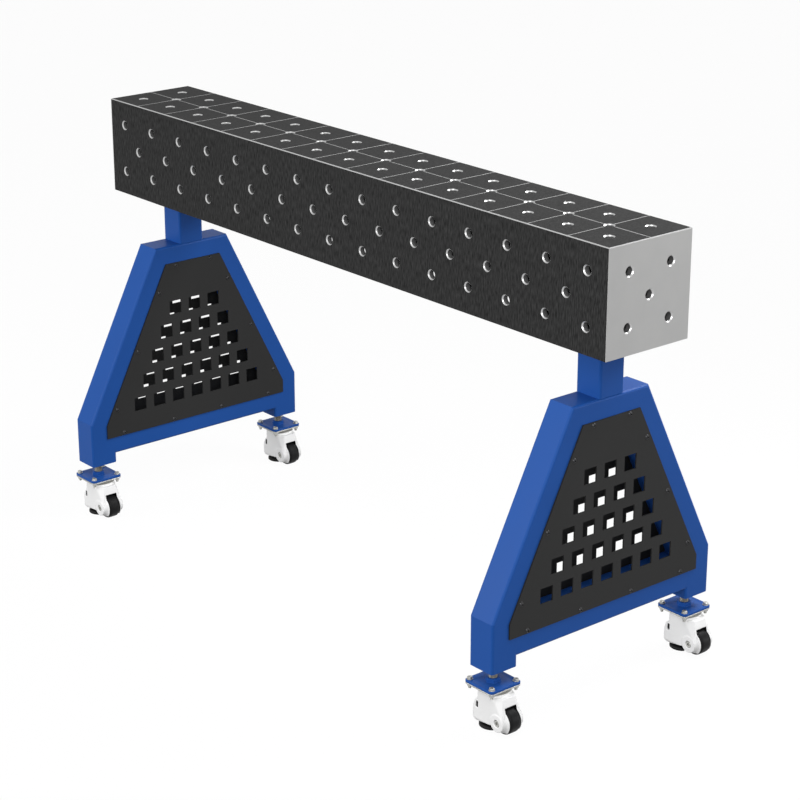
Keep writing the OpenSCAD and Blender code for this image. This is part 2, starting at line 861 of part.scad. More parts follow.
beam_top_plate();
beam_side(-1);  // beam_front_side
beam_side(1);  // beam_back_side
beam_end(-1);  // beam_left_end
beam_end(1);  // beam_right_end
beam_ribs();
beam_mounting_plates();

for (leg = LEGS) at_legs(leg[1]) {
    post();
    top_rail();
    upright(-1);
    upright(1);
    bottom_rail();
    panel(leg[1]);
    panel(-leg[1]);
    panel_screws();
    head_bolts();
    foot_nuts();
}

for (castor = CASTORS) at_castor(castor) {
    stem_plate();
    plate_bolts();
    top_plate();
    housing();
    wheel();
    axle();
    thumbwheel();
    foot();
}
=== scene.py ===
# %% [markdown]
# # Dressing a welding trestle
# The trestle is a bored steel box beam on two blue frame legs, and each leg stands on two
# levelling castors. The drawing office has packed its solids as a fixed frame. This lesson
# adds what a solid model leaves out: finishes, threads, rounded edges and small fasteners.
# Lengths are in metres: X runs along the beam, Y across it, Z up, and the floor is at zero.

from math import cos, pi, radians, sin, tan

import bmesh
import bpy
import numpy as np
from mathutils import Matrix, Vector


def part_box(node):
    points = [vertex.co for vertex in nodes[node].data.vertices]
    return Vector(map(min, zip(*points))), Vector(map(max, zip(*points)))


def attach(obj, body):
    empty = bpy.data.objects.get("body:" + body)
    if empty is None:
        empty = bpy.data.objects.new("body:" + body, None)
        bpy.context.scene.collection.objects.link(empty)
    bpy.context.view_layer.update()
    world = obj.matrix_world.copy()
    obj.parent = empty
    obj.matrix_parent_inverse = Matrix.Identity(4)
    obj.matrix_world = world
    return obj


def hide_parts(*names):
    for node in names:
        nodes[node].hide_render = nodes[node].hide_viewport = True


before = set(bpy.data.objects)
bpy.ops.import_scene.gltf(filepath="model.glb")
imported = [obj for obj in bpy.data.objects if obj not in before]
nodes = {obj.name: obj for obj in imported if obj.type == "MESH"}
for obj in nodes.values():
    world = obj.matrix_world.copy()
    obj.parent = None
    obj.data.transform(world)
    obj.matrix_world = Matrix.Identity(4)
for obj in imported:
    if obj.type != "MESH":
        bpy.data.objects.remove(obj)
scene = bpy.context.scene
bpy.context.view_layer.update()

# %% [markdown]
# The drawing is in millimetres and Blender in metres, so one name turns the one into the
# other, and every size below reads as it does on the drawing. Most small pieces repeat at
# all four castors, so the places of the castors are read off their solids once.

# %% Millimetres, and the places of the castors
MM = 0.001
CASTORS = ("left_front", "left_back", "right_front", "right_back")
LEGS = ("left", "right")
CORNERS = [(sx, sy) for sx in (-1, 1) for sy in (-1, 1)]


def middle(node):
    """The middle of a solid's box: half of its lowest corner and highest corner together."""
    low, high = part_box(node)
    return np.array((low + high) / 2)


castor_places = {name: middle(f"{name}_stem_plate") * (1, 1, 0) for name in CASTORS}
print({name: place.round(4).tolist() for name, place in castor_places.items()})

# %% [markdown]
# ## Camera
# The picture was taken from the front right, 50 degrees round from the front and 20 degrees
# above the floor, with a long lens some four metres away. A long lens keeps the far end
# of the beam from looking small. The camera looks along minus its own Z, so its direction
# comes from the two angles.

# %% Camera
AZIMUTH, ELEVATION = radians(50.03), radians(19.99)
CAMERA_PLACE = (3.2605, -2.6561, 1.910)
LENS, SENSOR, FAR_CLIP = 100.8, 36, 200

backwards = Vector(
    (sin(AZIMUTH) * cos(ELEVATION), -cos(AZIMUTH) * cos(ELEVATION), sin(ELEVATION))
)
camera = bpy.data.objects.new("camera", bpy.data.cameras.new("camera"))
scene.collection.objects.link(camera)
camera.location = CAMERA_PLACE
camera.rotation_euler = backwards.to_track_quat("Z", "Y").to_euler()
camera.data.lens = LENS
camera.data.sensor_width = SENSOR
camera.data.clip_end = FAR_CLIP
scene.camera = camera
scene.view_settings.view_transform = "Standard"
print(f"the camera stands {camera.location.length:.2f} m from the middle of the floor")

# %% [markdown]
# ## Nodes by one function
# A material is a small network of nodes. One function adds a node: its settings go on the
# node itself, and its inputs are numbers, colours or another node's output, which is
# linked. Colours are written as a paint chart gives them, in sRGB, and turned into the
# linear values that the renderer adds up.

# %% Helpers for materials
MATH = "ShaderNodeMath"


def colour(hex_code):
    """sRGB to linear: below 0.04045 a share v becomes v / 12.92, above it
    ((v + 0.055) / 1.055) to the power of 2.4."""
    shares = [int(hex_code[i : i + 2], 16) / 255 for i in (1, 3, 5)]
    linear = [v / 12.92 if v <= 0.04045 else ((v + 0.055) / 1.055) ** 2.4 for v in shares]
    return (*linear, 1)


def add(tree, kind, inputs=(), **settings):
    """Adds one node to a tree and returns it."""
    node = tree.nodes.new(kind)
    for name, value in settings.items():
        setattr(node, name, value)
    for name, value in dict(inputs).items():
        if isinstance(value, bpy.types.NodeSocket):
            tree.links.new(value, node.inputs[name])
        else:
            node.inputs[name].default_value = value
    return node


def blank_material(name):
    """An empty material, with its tree, its shader and the place on the piece."""
    material = bpy.data.materials.new(name)
    material.use_nodes = True
    tree = material.node_tree
    tree.nodes.clear()
    shader = add(tree, "ShaderNodeBsdfPrincipled")
    add(tree, "ShaderNodeOutputMaterial", {"Surface": shader.outputs["BSDF"]})
    place = add(tree, "ShaderNodeTexCoord").outputs["Object"]
    return material, tree, shader, place


print(f"a paint chart's middle grey is {colour('#808080')[0]:.3f} in linear light")

# %% [markdown]
# ## Light
# A studio wraps its subject in white. The world gives a low even light, and it is white to
# the camera and in mirrors, so the background stays blank and bare metal looks bright.

# %% World
WORLD_LIGHT = 0.26


def white_rays(tree):
    """One where a ray comes from the camera, off a mirror or through glass: the greatest
    of the three."""
    path = add(tree, "ShaderNodeLightPath").outputs
    seen = 0
    for ray in ("Is Camera Ray", "Is Glossy Ray", "Is Transmission Ray"):
        seen = add(tree, MATH, {0: seen, 1: path[ray]}, operation="MAXIMUM").outputs[0]
    return seen


world = bpy.data.worlds.new("studio")
world.use_nodes = True
scene.world = world
tree = world.node_tree
tree.nodes.clear()
strength = add(
    tree, "ShaderNodeMapRange", {"Value": white_rays(tree), "To Min": WORLD_LIGHT, "To Max": 1}
).outputs["Result"]
background = add(tree, "ShaderNodeBackground", {"Color": (1, 1, 1, 1), "Strength": strength})
add(tree, "ShaderNodeOutputWorld", {"Surface": background.outputs["Background"]})
print(f"the world is seen at strength 1 and lights the trestle at {WORLD_LIGHT}")

# %% [markdown]
# Soft lamps shape it. A broad low one at the front left makes the long side brighter than
# the end. A softbox near the right end lights the top from behind, so the top grows darker
# towards the far end. One beside the camera and one over it brighten every bevel that leans
# towards them, and a low one at the back right lifts the faces that look to the right.

# %% Lamps
# Each lamp's place, the point it looks at, its size in metres and its power in watts
LAMPS = {
    "front_lamp": ((-1.6, -4.2, 1.6), (0, 0, 0.5), (3, 2), 122),
    "camera_lamp": ((3.1, -2.3, 2.1), (0.1, 0, 0.8), (1.6, 2.2), 78),
    "over_lamp": ((1.3, -1.5, 4.3), (0.3, 0, 0.9), (1.5, 1.5), 46),
    "back_lamp": ((3.2, 2.6, 0.7), (0.6, 0, 0.5), (1.6, 1.2), 34),
    "top_softbox": ((0.7, 1.0, 1.55), (0.7, 0, 0.88), (1.1, 0.7), 26),
}
for name, (place, target, size, power) in LAMPS.items():
    lamp = bpy.data.lights.new(name, "AREA")
    lamp.shape = "RECTANGLE"
    lamp.size, lamp.size_y = size
    lamp.energy = power
    holder = bpy.data.objects.new(name, lamp)
    scene.collection.objects.link(holder)
    holder.location = place
    holder.rotation_euler = (Vector(place) - Vector(target)).to_track_quat("Z", "Y").to_euler()
    holder.visible_camera = False
    print(f"{name}: {power} W from {size[0] * size[1]:.1f} square metres")

# %% [markdown]
# ## Floor
# The floor is a wide white sheet. A castor can be screwed down past it, and a plain sheet
# would hide it. So the camera and mirrors look through nearly all of the floor, which keeps
# only a trace of its own light and shadow, and it is clear from below too. For the light
# that bounces off it, it is a darker matt sheet, which keeps the castors' undersides dark.

# %% Floor
FLOOR_REACH, FLOOR_CLEAR = 60, 0.96

floor_corners = [
    (sx * FLOOR_REACH, sy * FLOOR_REACH, 0) for sx, sy in ((-1, -1), (1, -1), (1, 1), (-1, 1))
]
floor_mesh = bpy.data.meshes.new("floor")
floor_mesh.from_pydata(floor_corners, [], [(0, 1, 2, 3)])
floor = bpy.data.objects.new("floor", floor_mesh)
scene.collection.objects.link(floor)

floor_paint = bpy.data.materials.new("White studio floor, matt")
floor_paint.use_nodes = True
tree = floor_paint.node_tree
tree.nodes.clear()
seen = white_rays(tree)
from_below = add(tree, "ShaderNodeNewGeometry").outputs["Backfacing"]
open_rays = add(tree, MATH, {0: seen, 1: from_below}, operation="MAXIMUM").outputs[0]
share = add(tree, MATH, {0: open_rays, 1: FLOOR_CLEAR}, operation="MULTIPLY").outputs[0]
floor_tone = add(
    tree, "ShaderNodeMix", {"Factor": seen, 6: colour("#5c5c5c"), 7: colour("#ffffff")},
    data_type="RGBA",
).outputs[2]
matt = add(tree, "ShaderNodeBsdfDiffuse", {"Color": floor_tone}).outputs[0]
clear = add(tree, "ShaderNodeBsdfTransparent", {"Color": (1, 1, 1, 1)}).outputs[0]
mixed = add(tree, "ShaderNodeMixShader", {0: share, 1: matt, 2: clear}).outputs[0]
add(tree, "ShaderNodeOutputMaterial", {"Surface": mixed})
floor_mesh.materials.append(floor_paint)
print(f"the floor is {2 * FLOOR_REACH} m wide and {FLOOR_CLEAR:.0%} clear to the camera")

# %% [markdown]
# ## Nitrided steel with bare edges
# The beam is welded, milled and then plasma nitrided, which leaves a hard charcoal skin
# with an upright grain. Where metal was cut afterwards it is bright: the bevelled rims of
# the bores, the bevel round the top, the engraved lines and the ground ends. The walls of
# the bores show a middle grey. All of these are places on the beam, so the pattern asks
# only where a point lies. A painted picture could do as much, but it would blur close by.

# %% Sizes of the beam
BEAM_TOP, BEAM_MIDDLE = 880 * MM, 780 * MM
BEAM_END, BEAM_SIDE, BEAM_WALL = 750 * MM, 100 * MM, 12 * MM
BORE, BORE_BEVEL, EDGE_BEVEL = 16 * MM, 2 * MM, 1.5 * MM
GRID = 100 * MM
ROWS_LONG, ROWS_WIDE = 720 * MM, 80 * MM
LINE_REACH, GROUND_SKIN = 1.1 * MM, 0.9 * MM
# Each pattern reaches a hair past the true edge of its place, so no sliver stays dark
WALL_SLACK, RIM_SLACK, DEPTH_SLACK, EDGE_SLACK = 0.03 * MM, 0.05 * MM, 0.1 * MM, 0.12 * MM
LATTICE = GRID / 2**0.5
print(f"the bores stand {LATTICE / MM:.1f} mm apart on the slant")

# %% [markdown]
# The bores form a lattice of squares that stands on its corner, 70.7 mm to a side. Turned
# by 45 degrees and divided by that side, every bore falls on whole numbers, and a Voronoi
# texture without randomness measures how far a point is from the nearest one.

# %% Where the bores are
def inside(tree, value, low, high):
    """One between two limits and zero outside: value > low times value < high."""
    above = add(tree, MATH, {0: value, 1: low}, operation="GREATER_THAN").outputs[0]
    below = add(tree, MATH, {0: value, 1: high}, operation="LESS_THAN").outputs[0]
    return add(tree, MATH, {0: above, 1: below}, operation="MULTIPLY").outputs[0]


def bore_places(tree, along, across, shift, depth, face, reach):
    """Two patterns for one face: the bevelled rims, which lie just outside a bore's radius,
    and the bores' walls, which lie on it. Along and across lie in the face, the bores go as
    far along as reach, and depth says how far out a point is."""
    flat = add(tree, "ShaderNodeCombineXYZ", {"X": along, "Y": across}).outputs[0]
    turned = add(
        tree, "ShaderNodeMapping",
        {
            "Vector": flat, "Location": (shift, shift, 0), "Rotation": (0, 0, radians(45)),
            "Scale": (1 / LATTICE, 1 / LATTICE, 1),
        },
    ).outputs[0]
    cell = add(
        tree, "ShaderNodeTexVoronoi", {"Vector": turned, "Scale": 1, "Randomness": 0},
        voronoi_dimensions="2D", feature="F1",
    ).outputs["Distance"]
    wall = (BORE / 2 + WALL_SLACK) / LATTICE
    rim = (BORE / 2 + BORE_BEVEL + RIM_SLACK) / LATTICE
    places = []
    for low, high, deep in ((wall, rim, BORE_BEVEL + DEPTH_SLACK), (-1, wall, BEAM_WALL)):
        here = inside(tree, cell, low, high)
        near_face = add(tree, MATH, {0: depth, 1: face - deep}, operation="GREATER_THAN").outputs[0]
        here = add(tree, MATH, {0: here, 1: near_face}, operation="MULTIPLY").outputs[0]
        for way, limit in ((along, reach), (across, ROWS_WIDE)):
            out = add(tree, MATH, {0: way}, operation="ABSOLUTE").outputs[0]
            in_rows = add(tree, MATH, {0: out, 1: limit}, operation="LESS_THAN").outputs[0]
            here = add(tree, MATH, {0: here, 1: in_rows}, operation="MULTIPLY").outputs[0]
        places.append(here)
    return places


steel, tree, shader, place = blank_material("Plasma nitrided steel, milled")
axes = add(tree, "ShaderNodeSeparateXYZ", {"Vector": place}).outputs
x, y, height = axes["X"], axes["Y"], axes["Z"]
z = add(tree, MATH, {0: height, 1: BEAM_MIDDLE}, operation="SUBTRACT").outputs[0]
along_beam = add(tree, MATH, {0: x}, operation="ABSOLUTE").outputs[0]
across_beam = add(tree, MATH, {0: y}, operation="ABSOLUTE").outputs[0]
rims, bores = 0, 0
for face in (
    (x, y, 0.5, height, BEAM_TOP, ROWS_LONG),
    (x, z, 0.5, across_beam, BEAM_SIDE, ROWS_LONG),
    (y, z, 0, along_beam, BEAM_END, ROWS_WIDE),
):
    rim, bore = bore_places(tree, *face)
    rims = add(tree, MATH, {0: rims, 1: rim}, operation="MAXIMUM").outputs[0]
    bores = add(tree, MATH, {0: bores, 1: bore}, operation="MAXIMUM").outputs[0]
print(f"{len(tree.nodes)} nodes find the bores on the top, the sides and the ends")

# %% [markdown]
# The other bare places are simpler. On the bevel of a top edge the distance out plus the
# height comes to one fixed sum. The engraved lines have bright burrs on both sides, along
# the middle and every 100 mm, and an end is all that lies within a thin skin of it.

# %% Where the edges, lines and ends are
edges = 0
for out, edge in ((across_beam, BEAM_SIDE), (along_beam, BEAM_END)):
    total = add(tree, MATH, {0: out, 1: height}, operation="ADD").outputs[0]
    fixed_sum = edge + BEAM_TOP - EDGE_BEVEL - EDGE_SLACK
    on_bevel = add(tree, MATH, {0: total, 1: fixed_sum}, operation="GREATER_THAN").outputs[0]
    edges = add(tree, MATH, {0: edges, 1: on_bevel}, operation="MAXIMUM").outputs[0]

between = add(tree, MATH, {0: x, 1: GRID / 2}, operation="PINGPONG").outputs[0]
to_cross_line = add(tree, MATH, {0: GRID / 2, 1: between}, operation="SUBTRACT").outputs[0]
to_line = add(tree, MATH, {0: to_cross_line, 1: across_beam}, operation="MINIMUM").outputs[0]
lines = inside(tree, to_line, -1, LINE_REACH)
top_skin = BEAM_TOP - EDGE_BEVEL
on_top = add(tree, MATH, {0: height, 1: top_skin}, operation="GREATER_THAN").outputs[0]
lines = add(tree, MATH, {0: lines, 1: on_top}, operation="MULTIPLY").outputs[0]

end_skin = BEAM_END - GROUND_SKIN
ends = add(tree, MATH, {0: along_beam, 1: end_skin}, operation="GREATER_THAN").outputs[0]
print(f"burrs reach {LINE_REACH / MM:.1f} mm to each side of a line")

# %% [markdown]
# The mill leaves upright streaks on the sides. Real ones are finer than a picture of the
# whole beam can show, so they are drawn coarser: about 2.5 mm wide and 14 mm long. The skin
# also has clouds the size of a palm, because the gas doesn't reach every place alike.

# %% Mill grain
GRAIN_WIDE, GRAIN_LONG, CLOUD = 2.5 * MM, 14.2857 * MM, 71.43 * MM

grain_scale = (1 / GRAIN_WIDE, 1 / GRAIN_WIDE, 1 / GRAIN_LONG)
grain_place = add(tree, "ShaderNodeMapping", {"Vector": place, "Scale": grain_scale}).outputs[0]
grain = add(
    tree, "ShaderNodeTexNoise", {"Vector": grain_place, "Scale": 1, "Detail": 2, "Roughness": 0.5}
).outputs["Fac"]
grain = add(
    tree, "ShaderNodeMapRange", {"Value": grain, "From Min": 0.32, "From Max": 0.68}
).outputs["Result"]
cloud = add(
    tree, "ShaderNodeTexNoise",
    {"Vector": place, "Scale": 1 / CLOUD, "Detail": 4, "Roughness": 0.55},
).outputs["Fac"]
print(f"{1 / GRAIN_WIDE:.0f} streaks to a metre across the grain")

# %% [markdown]
# The tones are laid one over the other like coats: the streaks and clouds of the skin, then
# each bare place in its own grey. A nitrided skin is dull and dark with hardly any gloss.
# A ground end scatters the light as a pale matt face does, while a rim's bevel is polished
# by the cutter and mirrors the white studio, which gives each bore its bright crescent.

# %% Nitrided steel
STREAK_SHARE, BARE_ROUGHNESS, SKIN_GLOSS = 0.35, 0.34, 0.01

grain_tone, cloud_tone, ground_tone = (
    add(
        tree, "ShaderNodeMix", {"Factor": pattern, 6: colour(dark), 7: colour(light)},
        data_type="RGBA",
    ).outputs[2]
    for pattern, dark, light in (
        (grain, "#1a1a1a", "#424242"), (cloud, "#282828", "#363636"), (cloud, "#adadad", "#b9b9b8"),
    )
)
tone = grain_tone
for cut, coat in (
    (STREAK_SHARE, cloud_tone), (lines, colour("#acacac")), (ends, ground_tone),
    (bores, colour("#606060")), (edges, colour("#b0b0b0")), (rims, colour("#b4b4b4")),
):
    tone = add(
        tree, "ShaderNodeMix", {"Factor": cut, 6: tone, 7: coat}, data_type="RGBA"
    ).outputs[2]

bare = 0
for cut in (rims, edges, ends):
    bare = add(tree, MATH, {0: bare, 1: cut}, operation="MAXIMUM").outputs[0]
rough = add(
    tree, "ShaderNodeMapRange", {"Value": grain, "To Min": 0.4, "To Max": 0.52}
).outputs["Result"]
rough = add(
    tree, "ShaderNodeMix", {0: bare, 2: rough, 3: BARE_ROUGHNESS}, data_type="FLOAT"
).outputs[0]
bump_height = add(tree, MATH, {0: grain, 1: 0.6}, operation="MULTIPLY").outputs[0]
bump = add(
    tree, "ShaderNodeBump", {"Height": bump_height, "Strength": 0.12, "Distance": 0.05 * MM}
).outputs[0]
for socket, value in {
    "Base Color": tone, "Roughness": rough, "Normal": bump, "Metallic": rims,
}.items():
    tree.links.new(value, shader.inputs[socket])
shader.inputs["Specular IOR Level"].default_value = SKIN_GLOSS
print(f"{steel.name}: {len(tree.nodes)} nodes")

# %% [markdown]
# ## Blue powder coat
# Powder melts into a thick even skin that draws back a little from sharp corners and
# keeps a faint orange peel, 2 to 3 mm from dimple to dimple. It is a paint, so it isn't
# metallic; its gloss comes from a moderate roughness. The panels' black powder is finer and
# duller, and the castors' white enamel is smoother, over the soft skin of a casting.

# %% Powder coats and enamel
WANDER, ROUGHNESS_SPREAD = 111.1 * MM, 0.03


def toned(name, dark, light, size, detail, roughness):
    """A material whose colour wanders between two tones, as a noise of one size does."""
    material, tree, shader, place = blank_material(name)
    noise = add(
        tree, "ShaderNodeTexNoise",
        {"Vector": place, "Scale": 1 / size, "Detail": detail, "Roughness": roughness},
    ).outputs["Fac"]
    tone = add(
        tree, "ShaderNodeMix", {"Factor": noise, 6: colour(dark), 7: colour(light)},
        data_type="RGBA",
    ).outputs[2]
    tree.links.new(tone, shader.inputs["Base Color"])
    return material, tree, shader, place, noise


def powder_coat(name, dark, light, roughness, peel, peel_height, gloss):
    """A coat whose tone and gloss wander slightly, with a fine bump of its own."""
    material, tree, shader, place, wander = toned(name, dark, light, WANDER, 3, 0.5)
    dimples = add(
        tree, "ShaderNodeTexNoise",
        {"Vector": place, "Scale": 1 / peel, "Detail": 2, "Roughness": 0.5},
    ).outputs["Fac"]
    bump = add(
        tree, "ShaderNodeBump", {"Height": dimples, "Strength": 0.35, "Distance": peel_height}
    ).outputs[0]
    rough = add(
        tree, "ShaderNodeMapRange",
        {
            "Value": wander, "From Min": 0.3, "From Max": 0.7,
            "To Min": roughness - ROUGHNESS_SPREAD, "To Max": roughness + ROUGHNESS_SPREAD,
        },
    ).outputs["Result"]
    tree.links.new(bump, shader.inputs["Normal"])
    tree.links.new(rough, shader.inputs["Roughness"])
    shader.inputs["Specular IOR Level"].default_value = gloss
    return material


blue = powder_coat(
    "Blue polyester powder coat, satin", "#1c4b94", "#21519d",
    roughness=0.42, peel=2.5 * MM, peel_height=0.06 * MM, gloss=0.1,
)
black = powder_coat(
    "Black polyester powder coat, fine texture", "#252525", "#2c2c2c",
    roughness=0.6, peel=1.2 * MM, peel_height=0.08 * MM, gloss=0.12,
)
white = powder_coat(
    "White enamel on cast aluminium", "#ebebeb", "#f4f4f4",
    roughness=0.36, peel=6 * MM, peel_height=0.12 * MM, gloss=0.3,
)
print([coat.name for coat in (blue, black, white)])

# %% [markdown]
# The enamel doesn't show everywhere on a housing. Inside the well round the wheel its walls are
# painted near-black: painted shade for the deep recess. The band under the castor's plate is
# painted grey, partly as the bare turned race and partly as painted shade under the plate. All
# four castors trail the same way and stand at the same distance from the middle, so one pattern
# serves them all: how far a point lies ahead of its castor's axis, and how far beside it.

# %% Painted shade and bare metal on the housings
WELL_HALF, WELL_BACK, WELL_TOP, RING_BOTTOM = 13.7 * MM, 10.6 * MM, 54.4 * MM, 75 * MM
CASTOR_X, CASTOR_Y, _ = (abs(v) for v in castor_places[CASTORS[0]])

tree = white.node_tree
shader = tree.nodes["Principled BSDF"]
enamel = shader.inputs["Base Color"].links[0].from_socket
place = add(tree, "ShaderNodeTexCoord").outputs["Object"]
axes = add(tree, "ShaderNodeSeparateXYZ", {"Vector": place}).outputs
end = add(tree, MATH, {0: axes["X"]}, operation="SIGN").outputs[0]
ahead = add(
    tree, MATH, {0: end, 1: -CASTOR_X, 2: axes["X"]}, operation="MULTIPLY_ADD"
).outputs[0]
beside = add(tree, MATH, {0: axes["Y"]}, operation="ABSOLUTE").outputs[0]
beside = add(tree, MATH, {0: beside, 1: CASTOR_Y}, operation="SUBTRACT").outputs[0]
beside = add(tree, MATH, {0: beside}, operation="ABSOLUTE").outputs[0]
# The well's walls are painted near-black: painted shade for the deep recess round the wheel
well = inside(tree, beside, -1, WELL_HALF)
for value, low, high in ((ahead, WELL_BACK, 1), (axes["Z"], -1, WELL_TOP)):
    within = inside(tree, value, low, high)
    well = add(tree, MATH, {0: well, 1: within}, operation="MULTIPLY").outputs[0]
# The band under the castor's plate is painted grey: partly the bare turned race, partly painted
# shade under the plate
ring = inside(tree, axes["Z"], RING_BOTTOM, 1)
tone = enamel
# Near-black painted shade in the well; grey on the ring, partly bare race and partly painted shade
# under the plate
for part, shade_and_bare_tone in ((well, "#0d0d0d"), (ring, "#84847f")):
    tone = add(
        tree, "ShaderNodeMix", {"Factor": part, 6: tone, 7: colour(shade_and_bare_tone)}, data_type="RGBA"
    ).outputs[2]
tree.links.new(tone, shader.inputs["Base Color"])
print(f"the well's walls stand {2 * WELL_HALF / MM:.1f} mm apart")

# %% [markdown]
# ## Zinc, black oxide and moulded parts
# Bolts, the stem and the castor's plate are zinc plated: bright, slightly warm, and mottled
# where the crystals differ. The panel screws are blackened with oxide and oiled. The wheel
# and the thumbwheel are black nylon, and the foot is matt rubber.

# %% Zinc and black oxide
def mottled_metal(name, dark, light, grain, low, high, metallic):
    """A metal whose tone and roughness both follow one mottled pattern."""
    material, tree, shader, _, mottle = toned(name, dark, light, grain, 4, 0.6)
    rough = add(
        tree, "ShaderNodeMapRange",
        {"Value": mottle, "From Min": 0.3, "From Max": 0.7, "To Min": low, "To Max": high},
    ).outputs["Result"]
    bump = add(
        tree, "ShaderNodeBump", {"Height": mottle, "Strength": 0.15, "Distance": 0.05 * MM}
    ).outputs[0]
    tree.links.new(bump, shader.inputs["Normal"])
    tree.links.new(rough, shader.inputs["Roughness"])
    shader.inputs["Metallic"].default_value = metallic
    return material


zinc = mottled_metal(
    "Zinc plated steel", "#949491", "#c2c2be", grain=2.5 * MM, low=0.26, high=0.4, metallic=0.8
)
stem_steel = mottled_metal(
    "Yellow passivated zinc on steel", "#7c7870", "#9a9589",
    grain=2 * MM, low=0.38, high=0.5, metallic=0.6,
)
oxide = mottled_metal(
    "Black oxide steel, oiled", "#262627", "#363638",
    grain=1.5 * MM, low=0.26, high=0.38, metallic=0.85,
)
print([metal.name for metal in (zinc, stem_steel, oxide)])

# %% Nylon and rubber
def moulded(name, dark, light, grain, roughness, gloss):
    """A moulded plastic or rubber, with a fine matt skin."""
    material, tree, shader, _, speckle = toned(name, dark, light, grain, 3, 0.6)
    bump = add(
        tree, "ShaderNodeBump", {"Height": speckle, "Strength": 0.25, "Distance": 0.05 * MM}
    ).outputs[0]
    tree.links.new(bump, shader.inputs["Normal"])
    shader.inputs["Roughness"].default_value = roughness
    shader.inputs["Specular IOR Level"].default_value = gloss
    return material


nylon = moulded(
    "Black nylon, moulded", "#101011", "#19191a", grain=0.8 * MM, roughness=0.45, gloss=0.1
)
rubber = moulded(
    "Black rubber, moulded", "#0f0f0f", "#171717", grain=0.8 * MM, roughness=0.62, gloss=0.15
)
print([moulding.name for moulding in (nylon, rubber)])

# %% [markdown]
# ## Surfaces from rings
# Nearly every small part here is turned, threaded or hexagonal: its outline goes once round
# an axis at each height. So one function skins a stack of closed rings, and a part is
# an array of radii, one row for each level and one column for each angle. Both ends are
# closed by a fan, or the last ring meets the first where the part has a hole through it.

# %% Skin over rings
def skin(rings, loop=False):
    """Points and faces over closed rings of points, which run anticlockwise seen from the
    end of the stack, so that the faces point outwards."""
    rings = np.asarray(rings, float)
    count, around = rings.shape[:2]
    index = np.arange(count * around).reshape(count, around)
    rows = np.vstack([index, index[:1]]) if loop else index
    beside = np.roll(rows, -1, axis=1)
    faces = np.stack([rows[:-1], beside[:-1], beside[1:], rows[1:]], axis=-1)
    faces = faces.reshape(-1, 4).tolist()
    points = rings.reshape(-1, 3)
    if not loop:
        points = np.vstack([points, rings[0].mean(0), rings[-1].mean(0)])
        for ring, centre in ((index[0][::-1], count * around), (index[-1], count * around + 1)):
            fan = np.stack([ring, np.roll(ring, -1), np.full(around, centre)], axis=-1)
            faces += fan.tolist()
    return points, faces


def rings_of(radii, heights):
    """Rings round Z: x = r cos a, y = r sin a, with a radius for each level and angle."""
    levels, around = radii.shape
    angles = np.linspace(0, 2 * pi, around, endpoint=False)
    heights = np.broadcast_to(np.reshape(heights, (levels, -1)), radii.shape)
    return np.stack([radii * np.cos(angles), radii * np.sin(angles), heights], axis=-1)


def lathe(profile, around=48, loop=False):
    """A turned part: the profile's radius is the same at every angle."""
    profile = np.asarray(profile, float)
    return skin(rings_of(np.repeat(profile[:, :1], around, axis=1), profile[:, 1]), loop)


def hexagon(width, around):
    """Radius of a hexagon at each angle: half its width over the cosine of the angle from
    the middle of the nearest side."""
    angles = np.linspace(0, 2 * pi, around, endpoint=False)
    return width / 2 / np.cos((angles + pi / 6) % (pi / 3) - pi / 6)


print(f"a hexagon 10 mm wide is {2 * hexagon(10, 36).max():.2f} mm over its corners")

# %% [markdown]
# A shell is made round Z and then turned to face its own way on the trestle. A piece is one
# object of one or more shells. It rides on a body and may stand in for a solid, and only its
# sharp creases stay sharp.

# %% Shells into pieces
FACING = {
    "up": np.eye(3),
    "down": np.diag([1.0, -1, -1]),
    "front": np.array([[1.0, 0, 0], [0, 0, -1], [0, 1, 0]]),
    "back": np.array([[1.0, 0, 0], [0, 0, 1], [0, -1, 0]]),
    "right": np.array([[0.0, 0, 1], [0, 1, 0], [-1, 0, 0]]),
    "left": np.array([[0.0, 0, -1], [0, 1, 0], [1, 0, 0]]),
}
CREASE = radians(38)


def put(shell, place, facing="up"):
    """A shell turned to face one way and moved to its place."""
    points, faces = shell
    return points @ FACING[facing].T + np.asarray(place), faces


def piece(name, shells, material, body, stands_for=()):
    """One object from several shells, with its place in its mesh."""
    starts = np.cumsum([0] + [len(points) for points, _ in shells[:-1]])
    faces = [
        [i + start for i in face] for (_, part), start in zip(shells, starts) for face in part
    ]
    mesh = bpy.data.meshes.new(name)
    mesh.from_pydata(np.vstack([points for points, _ in shells]).tolist(), [], faces)
    mesh.shade_smooth()
    mesh.set_sharp_from_angle(angle=CREASE)
    mesh.materials.append(material)
    made = bpy.data.objects.new(name, mesh)
    scene.collection.objects.link(made)
    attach(made, body)
    if stands_for:
        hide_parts(*stands_for)
    return made


def on_castors(part, shells, material, body, stands_for=None):
    """The same piece at each castor, from shells that are made round the castor's axis."""
    for name, spot in castor_places.items():
        there = [put(shell, spot) for shell in shells]
        solids = [f"{name}_{stands_for}"] if stands_for else ()
        made = piece(f"{name}_{part}", there, material, f"{name}_{body}", solids)
    print(f"{made.name} has {len(made.data.polygons)} faces")


def at_corners(shells, spacing, height, facing="up"):
    """The same shells at the four corners of a square, all at one height."""
    half = spacing / 2
    return [
        put(shell, (sx * half, sy * half, height), facing) for sx, sy in CORNERS for shell in shells
    ]


print("a shell can face", ", ".join(FACING))

# %% [markdown]
# ## Hexagon bolts
# A hexagon head is a hexagon cut by a cone: the smaller of the two radii holds at each
# height. The nut is the same with a hole, and the washer is a plain ring.

# %% Heads, nuts and washers
OVER_CORNERS, CONE = 1.155, radians(32)


def hexagon_head(width, height, around=36):
    """Hexagon with a chamfer on top: the radius is the least of the hexagon's and a cone's."""
    levels = np.array([0, 0.8, 0.87, 0.94, 1]) * height
    depth = np.clip(levels - 0.8 * height, 0, None)
    cone = width / 2 * OVER_CORNERS - depth / tan(CONE)
    outer = np.minimum(hexagon(width, around)[None], cone[:, None])
    return skin(rings_of(outer, levels))


